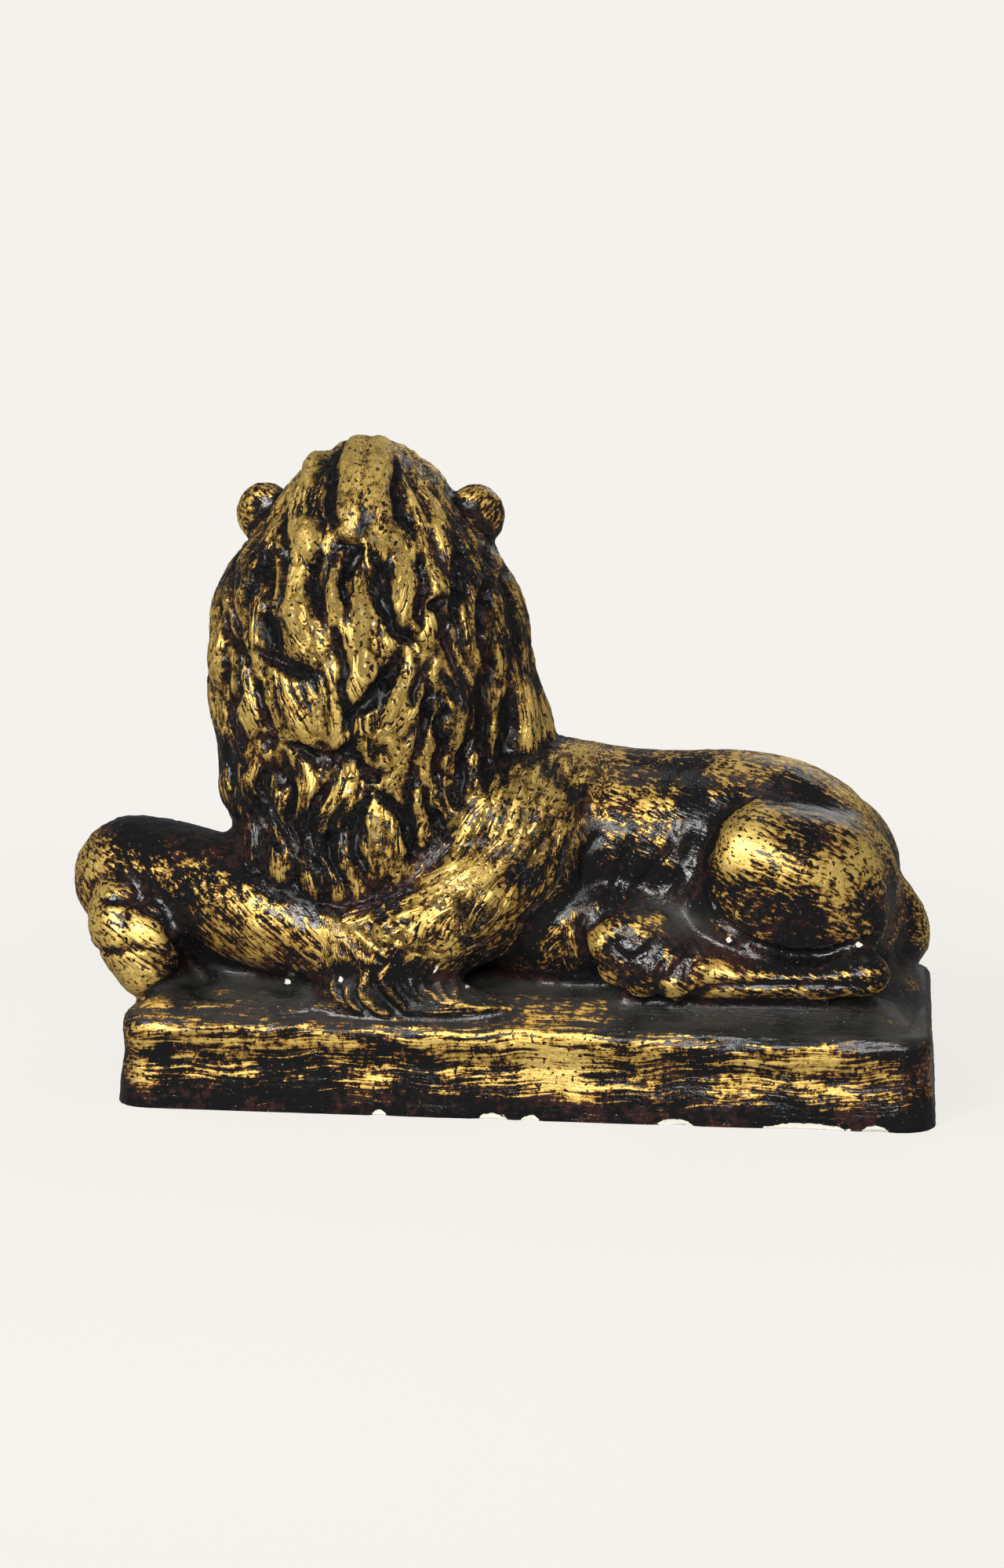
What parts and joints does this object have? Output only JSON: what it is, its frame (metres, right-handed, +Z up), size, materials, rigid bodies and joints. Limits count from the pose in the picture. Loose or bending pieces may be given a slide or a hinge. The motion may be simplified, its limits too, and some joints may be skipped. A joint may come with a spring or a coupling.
{
  "type": "lion statue",
  "caption": "Lion lying on a low block plinth with its forepaws crossed and its head turned aside, one plaster cast painted black and brushed with gold.",
  "frame": {"origin": "centre of the plinth's flat underside", "axes": "+X towards the rump along the plinth's long side, -X towards the crossed forepaws, +Y the way the face looks, +Z up"},
  "size_m": [0.4287, 0.1856, 0.3175],
  "materials": {
    "gilt_plaster": "plaster painted glossy black, with gold dry-brushed over the raised carving, worn and chipped to white plaster at the bottom edge"
  },
  "bodies": {
    "root": {"lion_on_plinth": "gilt_plaster"}
  },
  "joints": []
}
